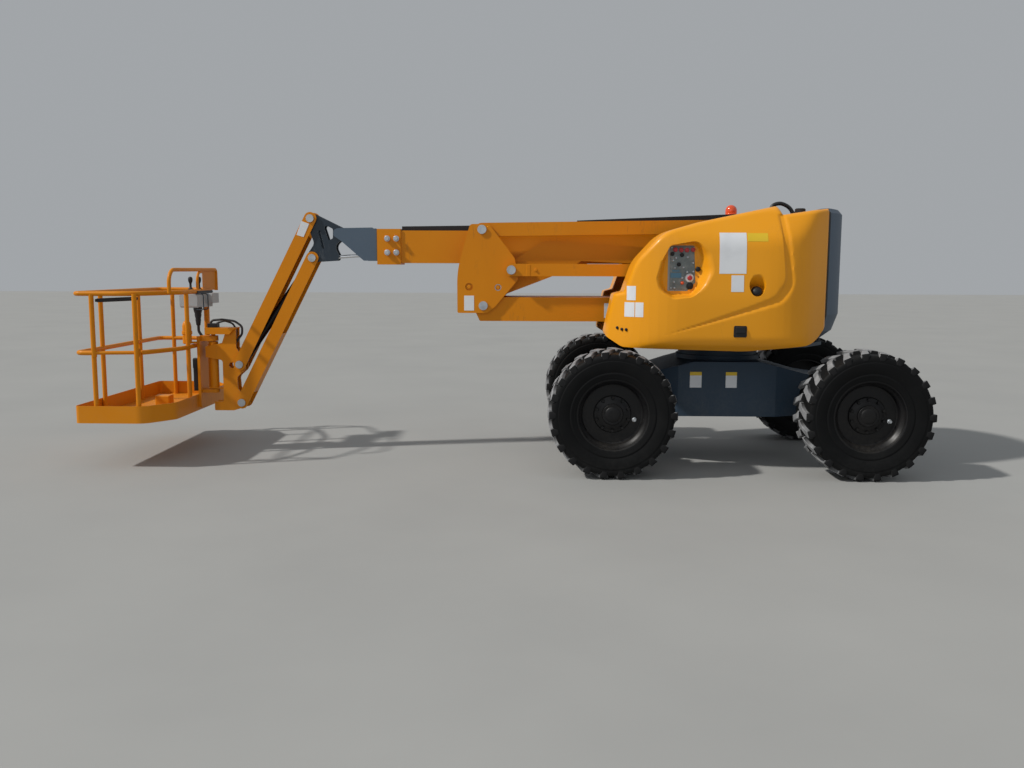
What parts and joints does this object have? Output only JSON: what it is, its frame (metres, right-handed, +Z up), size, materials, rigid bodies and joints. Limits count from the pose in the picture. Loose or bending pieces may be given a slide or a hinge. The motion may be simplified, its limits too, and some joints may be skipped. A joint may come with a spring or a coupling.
{
  "type": "articulating boom lift",
  "caption": "Wheeled articulating boom lift with slewing turret, stacked parallelogram arms, telescopic boom, jib and rotating work basket.",
  "frame": {"origin": "on the ground under the middle of the machine's box", "axes": "+X from the basket to the counterweight end, +Y away from the pictured side, +Z up; the row is stored at the size of the real machine"},
  "size_m": [7.2324, 2.3, 2.3602],
  "materials": {
    "paint_orange": "gloss",
    "paint_slate": "satin",
    "paint_blue_grey": "satin",
    "zinc": "satin",
    "chrome_rod": "polished",
    "tread": "matte",
    "hood_orange": "gloss",
    "black_plastic": "matte",
    "grey_plastic": "matte",
    "beacon_lens": "gloss",
    "cast_grey": "satin"
  },
  "bodies": {
    "chassis": {"chassis_frame": "paint_slate", "front_axle": "paint_slate", "rear_axle": "paint_slate"},
    "turret": {"turntable": "paint_slate", "counterweight": "cast_grey", "engine_block": "black_plastic", "tank_block": "black_plastic", "control_panel": "grey_plastic"},
    "near_hood": {"hood_near": "hood_orange"},
    "far_hood": {"hood_far": "hood_orange", "beacon": "beacon_lens"},
    "near_knuckle": {"steer_knuckle_near": "paint_slate"},
    "far_knuckle": {"steer_knuckle_far": "paint_slate"},
    "steering_rod": {"steer_rod": "zinc"},
    "front_near_wheel": {"tyre_front_near": "tread", "rim_front_near": "paint_slate"},
    "front_far_wheel": {"tyre_front_far": "tread", "rim_front_far": "paint_slate"},
    "rear_near_wheel": {"tyre_rear_near": "tread", "rim_rear_near": "paint_slate"},
    "rear_far_wheel": {"tyre_rear_far": "tread", "rim_rear_far": "paint_slate"},
    "lower_stage": {"lower_arm": "paint_orange"},
    "tie_stage": {"tie_rods": "paint_orange"},
    "arm_knuckle": {"knuckle": "paint_orange", "knuckle_pins": "zinc"},
    "beam_stage": {"upper_beams": "paint_orange"},
    "side_stage": {"side_arms": "paint_orange"},
    "boom_carrier": {"carrier": "paint_orange"},
    "outer_boom": {"boom_outer": "paint_orange", "hose_track": "black_plastic"},
    "inner_boom": {"boom_inner": "paint_orange", "boom_head": "paint_blue_grey"},
    "bracket": {"tip_bracket": "paint_slate", "tip_pins": "zinc"},
    "upper_jib": {"jib_upper": "paint_orange"},
    "lower_jib": {"jib_lower": "paint_orange"},
    "fork": {"platform_fork": "paint_orange", "fork_pins": "zinc"},
    "basket": {"basket_mount": "paint_orange", "basket_tray": "paint_orange", "basket_rails": "paint_orange", "console": "grey_plastic"},
    "bar": {"entry_bar": "paint_orange"},
    "lift_tube": {"lift_barrel": "paint_slate"},
    "lift_stem": {"lift_rod": "chrome_rod"},
    "boom_tube": {"ram_barrel": "paint_slate"},
    "boom_stem": {"ram_rod": "chrome_rod"},
    "level_tube": {"level_barrel": "paint_slate"},
    "level_stem": {"level_rod": "chrome_rod"},
    "jib_tube": {"jib_barrel": "paint_slate"},
    "jib_stem": {"jib_rod": "chrome_rod"}
  },
  "joints": [
    {"name": "slew", "type": "hinge", "parent": "chassis", "child": "turret", "pos_m": [2.02875, 0, 0.965], "axis": [0, 0, 1], "range_deg": [-180, 180]},
    {"name": "near_hood_lid", "type": "hinge", "parent": "turret", "child": "near_hood", "pos_m": [2.02875, -0.43, 2.24], "axis": [-1, 0, 0], "range_deg": [0, 45]},
    {"name": "far_hood_lid", "type": "hinge", "parent": "turret", "child": "far_hood", "pos_m": [2.02875, 0.43, 2.24], "axis": [1, 0, 0], "range_deg": [0, 45]},
    {"name": "steer", "type": "hinge", "parent": "chassis", "child": "near_knuckle", "pos_m": [0.97875, -0.6, 0.5375], "axis": [0, 0, 1], "range_deg": [-25, 25]},
    {"name": "steer_far", "type": "hinge", "parent": "chassis", "child": "far_knuckle", "pos_m": [0.97875, 0.6, 0.5375], "axis": [0, 0, 1], "range_deg": [-25, 25]},
    {"name": "steer_link", "type": "slide", "parent": "chassis", "child": "steering_rod", "axis": [0, 1, 0], "range_m": [-0.058, 0.058]},
    {"name": "front_near_spin", "type": "hinge", "parent": "near_knuckle", "child": "front_near_wheel", "pos_m": [0.97875, -0.9375, 0.5375], "axis": [0, 1, 0], "continuous": true},
    {"name": "front_far_spin", "type": "hinge", "parent": "far_knuckle", "child": "front_far_wheel", "pos_m": [0.97875, 0.9375, 0.5375], "axis": [0, 1, 0], "continuous": true},
    {"name": "rear_near_spin", "type": "hinge", "parent": "chassis", "child": "rear_near_wheel", "pos_m": [3.07875, -0.9375, 0.5375], "axis": [0, 1, 0], "continuous": true},
    {"name": "rear_far_spin", "type": "hinge", "parent": "chassis", "child": "rear_far_wheel", "pos_m": [3.07875, 0.9375, 0.5375], "axis": [0, 1, 0], "continuous": true},
    {"name": "arms", "type": "hinge", "parent": "turret", "child": "lower_stage", "pos_m": [2.36175, 0, 1.404], "axis": [0, 1, 0], "range_deg": [0, 68]},
    {"name": "tie_follow", "type": "hinge", "parent": "turret", "child": "tie_stage", "pos_m": [2.61575, 0, 1.725], "axis": [0, 1, 0], "range_deg": [0, 68]},
    {"name": "knuckle_follow", "type": "hinge", "parent": "lower_stage", "child": "arm_knuckle", "pos_m": [-0.13825, 0, 1.404], "axis": [0, 1, 0], "range_deg": [-68, 0]},
    {"name": "beam_follow", "type": "hinge", "parent": "arm_knuckle", "child": "beam_stage", "pos_m": [-0.14925, 0, 2.083], "axis": [0, 1, 0], "range_deg": [-68, 0]},
    {"name": "side_follow", "type": "hinge", "parent": "arm_knuckle", "child": "side_stage", "pos_m": [-0.00525, 0, 1.568], "axis": [0, 1, 0], "range_deg": [-68, 0]},
    {"name": "carrier_follow", "type": "hinge", "parent": "beam_stage", "child": "boom_carrier", "pos_m": [2.35051, 0, 2.1179], "axis": [0, 1, 0], "range_deg": [0, 68]},
    {"name": "boom_luff", "type": "hinge", "parent": "boom_carrier", "child": "outer_boom", "pos_m": [2.45875, 0, 1.945], "axis": [0, 1, 0], "range_deg": [0, 72]},
    {"name": "telescope", "type": "slide", "parent": "outer_boom", "child": "inner_boom", "axis": [-1, 0, 0], "range_m": [0, 2.4]},
    {"name": "bracket_level", "type": "hinge", "parent": "inner_boom", "child": "bracket", "pos_m": [-1.48625, 0, 2.055], "axis": [0, 1, 0], "range_deg": [-72, 0]},
    {"name": "jib_luff", "type": "hinge", "parent": "bracket", "child": "upper_jib", "pos_m": [-1.74625, 0, 2.19], "axis": [0, 1, 0], "range_deg": [-8, 126]},
    {"name": "lower_jib_follow", "type": "hinge", "parent": "bracket", "child": "lower_jib", "pos_m": [-1.73525, 0, 1.829], "axis": [0, 1, 0], "range_deg": [-8, 126]},
    {"name": "fork_level", "type": "hinge", "parent": "upper_jib", "child": "fork", "pos_m": [-2.44425, 0, 0.835], "axis": [0, 1, 0], "range_deg": [-126, 8]},
    {"name": "basket_swivel", "type": "hinge", "parent": "fork", "child": "basket", "pos_m": [-2.71125, 0, 0.85], "axis": [0, 0, 1], "range_deg": [-90, 90]},
    {"name": "entry_lift", "type": "slide", "parent": "basket", "child": "bar", "axis": [0, 0, 1], "range_m": [0, 0.38]},
    {"name": "lift_swing", "type": "hinge", "parent": "turret", "child": "lift_tube", "pos_m": [2.12875, 0, 1.151], "axis": [0, 1, 0], "range_deg": [-1, 69.91]},
    {"name": "lift_stroke", "type": "slide", "parent": "lift_tube", "child": "lift_stem", "axis": [-0.9956, 0, 0.0936], "range_m": [-0.004, 0.3882]},
    {"name": "boom_swing", "type": "hinge", "parent": "boom_carrier", "child": "boom_tube", "pos_m": [2.31875, 0, 1.625], "axis": [0, 1, 0], "range_deg": [-1, 69.63]},
    {"name": "boom_stroke", "type": "slide", "parent": "boom_tube", "child": "boom_stem", "axis": [-0.9973, 0, 0.0734], "range_m": [-0.004, 0.401]},
    {"name": "level_swing", "type": "hinge", "parent": "inner_boom", "child": "level_tube", "pos_m": [-0.57125, 0, 1.9], "axis": [0, 1, 0], "range_deg": [-1, 6.16]},
    {"name": "level_stroke", "type": "slide", "parent": "level_tube", "child": "level_stem", "axis": [-0.9979, 0, -0.0647], "range_m": [-0.2511, 0.004]},
    {"name": "jib_swing", "type": "hinge", "parent": "upper_jib", "child": "jib_tube", "pos_m": [-2.44425, 0, 0.835], "axis": [0, 1, 0], "range_deg": [-3.52, 1.16]},
    {"name": "jib_stroke", "type": "slide", "parent": "jib_tube", "child": "jib_stem", "axis": [0.5807, 0, 0.8141], "range_m": [-0.0472, 0.684]}
  ],
  "couplings": [
    {"joint": "steer_far", "follows": "steer", "ratio": 1},
    {"joint": "steer_link", "follows": "steer", "m_per_rad": -0.13},
    {"joint": "tie_follow", "follows": "arms", "ratio": 1},
    {"joint": "knuckle_follow", "follows": "arms", "ratio": -1},
    {"joint": "beam_follow", "follows": "arms", "ratio": -1},
    {"joint": "side_follow", "follows": "arms", "ratio": -1},
    {"joint": "carrier_follow", "follows": "arms", "ratio": 1},
    {"joint": "bracket_level", "follows": "boom_luff", "ratio": -1},
    {"joint": "lower_jib_follow", "follows": "jib_luff", "ratio": 1},
    {"joint": "fork_level", "follows": "jib_luff", "ratio": -1},
    {"joint": "lift_swing", "follows": "arms", "ratio": 1.0133},
    {"joint": "lift_stroke", "follows": "arms", "m_per_rad": 0.32373},
    {"joint": "boom_swing", "follows": "boom_luff", "ratio": 0.95315},
    {"joint": "boom_stroke", "follows": "boom_luff", "m_per_rad": 0.31591},
    {"joint": "level_swing", "follows": "boom_luff", "ratio": 0.0717},
    {"joint": "level_stroke", "follows": "boom_luff", "m_per_rad": -0.19667},
    {"joint": "jib_swing", "follows": "jib_luff", "ratio": -0.02},
    {"joint": "jib_stroke", "follows": "jib_luff", "m_per_rad": 0.30924}
  ]
}
